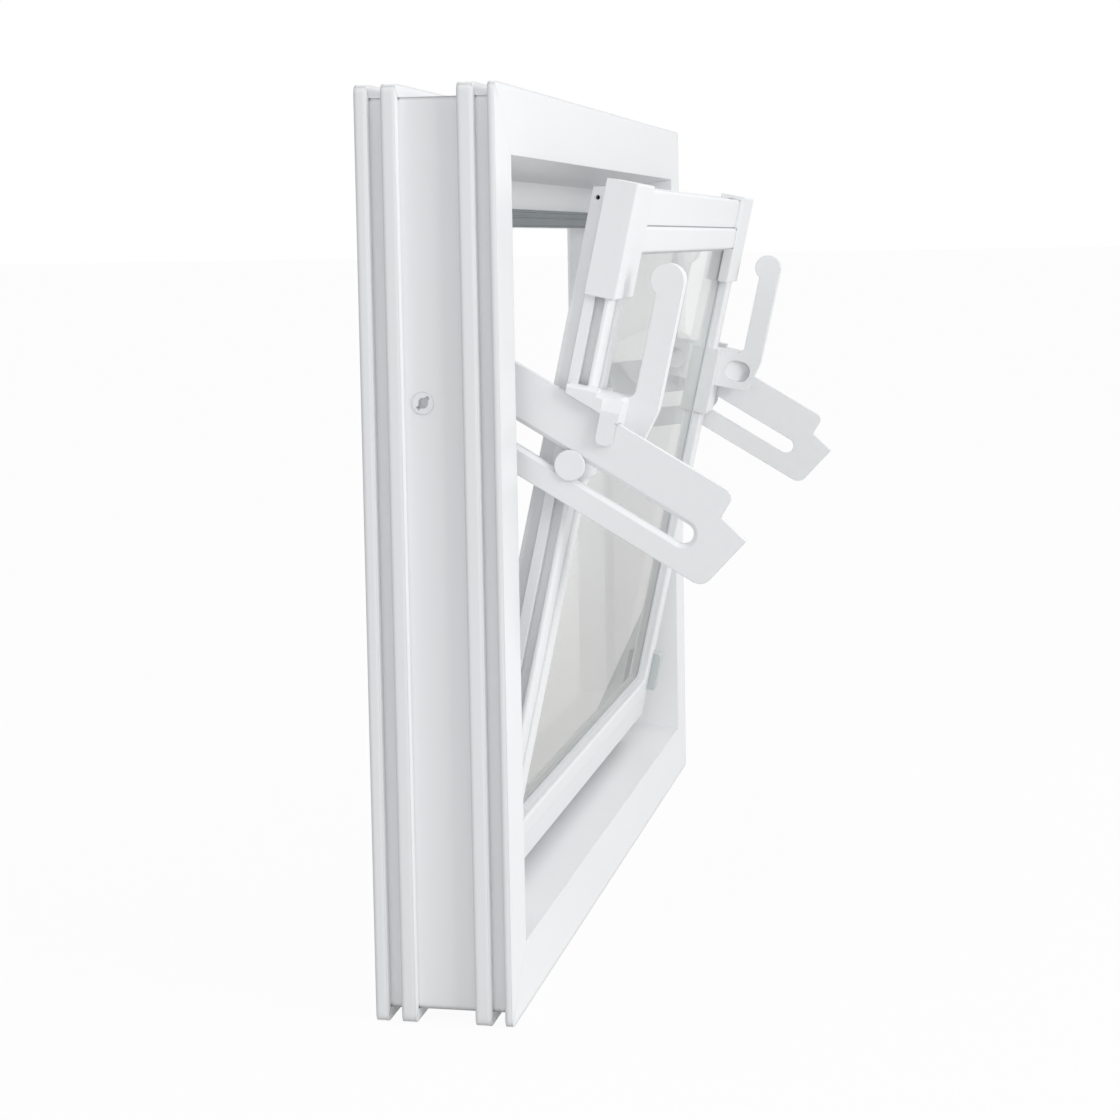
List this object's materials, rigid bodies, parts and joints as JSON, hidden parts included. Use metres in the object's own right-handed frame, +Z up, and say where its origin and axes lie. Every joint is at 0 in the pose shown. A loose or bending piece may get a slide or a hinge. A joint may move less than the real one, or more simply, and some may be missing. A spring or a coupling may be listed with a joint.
{
  "type": "hopper window",
  "caption": "Small white plastic hopper window: hollow mitred frame, bottom-hung glazed sash tilted into the room, slotted stays, knobs and latch levers at the sides.",
  "frame": {"origin": "underside of the rib the frame stands on, at mid-width", "axes": "+X along the window's width, to the right as seen from the room, -Y into the room, +Y outdoors, +Z up"},
  "size_m": [0.5, 0.1571, 0.4],
  "materials": {
    "white_profile": "satin",
    "white_fitting": "satin",
    "grey_seal": "matt",
    "clear_glass": "polished"
  },
  "bodies": {
    "root": {"corner_cap_left": "white_fitting", "corner_cap_right": "white_fitting", "foot_block_left": "white_fitting", "foot_block_right": "white_fitting", "frame_bottom_rail": "white_profile", "frame_left_stile": "white_profile", "frame_right_stile": "white_profile", "frame_seal_bottom": "grey_seal", "frame_seal_left": "grey_seal", "frame_seal_right": "grey_seal", "frame_seal_top": "grey_seal", "frame_top_rail": "white_profile", "glass_pane": "clear_glass", "glazing_bead_bottom": "white_profile", "glazing_bead_left": "white_profile", "glazing_bead_right": "white_profile", "glazing_bead_top": "white_profile", "hinge_block_left": "white_fitting", "hinge_block_right": "white_fitting", "latch_lever_left": "white_fitting", "latch_lever_right": "white_fitting", "sash_bottom_rail": "white_profile", "sash_left_stile": "white_profile", "sash_right_stile": "white_profile", "sash_top_rail": "white_profile", "stay_clip_left": "white_fitting", "stay_clip_right": "white_fitting", "stay_knob_left": "white_fitting", "stay_knob_right": "white_fitting", "stay_left": "white_fitting", "stay_pivot_left": "white_fitting", "stay_pivot_right": "white_fitting", "stay_right": "white_fitting"}
  },
  "joints": []
}
